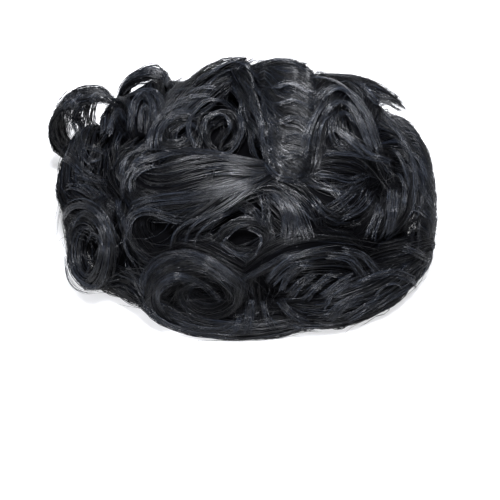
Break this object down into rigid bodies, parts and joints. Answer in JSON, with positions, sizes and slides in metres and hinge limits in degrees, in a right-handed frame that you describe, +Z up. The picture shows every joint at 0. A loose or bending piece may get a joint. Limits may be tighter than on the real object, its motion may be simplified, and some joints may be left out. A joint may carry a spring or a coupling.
{
  "type": "toupee hairpiece",
  "caption": "Domed toupee hairpiece of near-black curled and waved hair on a thin lace base with a bound rim and an open hollow for the crown of the head.",
  "frame": {"origin": "on the surface that the base's rim rests on, below the middle of the whole piece", "axes": "+X from the front hairline to the back of the head, +Z up out of the crown, -Y the side nearest the camera in the picture"},
  "size_m": [0.2538, 0.2044, 0.0799],
  "materials": {
    "hair": "satin",
    "lace": "matte"
  },
  "bodies": {
    "root": {"back_bump": "hair", "back_fall_1": "hair", "back_fall_2": "hair", "back_fall_3": "hair", "back_fall_4": "hair", "back_fall_5": "hair", "back_fall_6": "hair", "back_left_sweep": "hair", "back_loop": "hair", "back_point": "hair", "back_tuft": "hair", "big_swoop": "hair", "centre_ridge": "hair", "centre_wave": "hair", "claw_wisp": "hair", "eye_curl": "hair", "front_barrel": "hair", "front_curl": "hair", "front_curtain": "hair", "front_fall": "hair", "front_flat": "hair", "front_loop": "hair", "front_roll": "hair", "hem_wave": "hair", "highlight_fan": "hair", "lace_base": "lace", "left_barrel": "hair", "lower_centre_band": "hair", "lower_lobe": "hair", "lower_right_arch": "hair", "lower_right_inner": "hair", "pin_curl": "hair", "right_corner": "hair", "right_inner_band": "hair", "right_outer_band": "hair", "right_swirl": "hair", "small_curl": "hair", "smile_wave": "hair", "smooth_valley": "hair", "swirl_heart": "hair", "twin_curl": "hair", "under_hair": "hair", "valley_fan": "hair"}
  },
  "joints": []
}
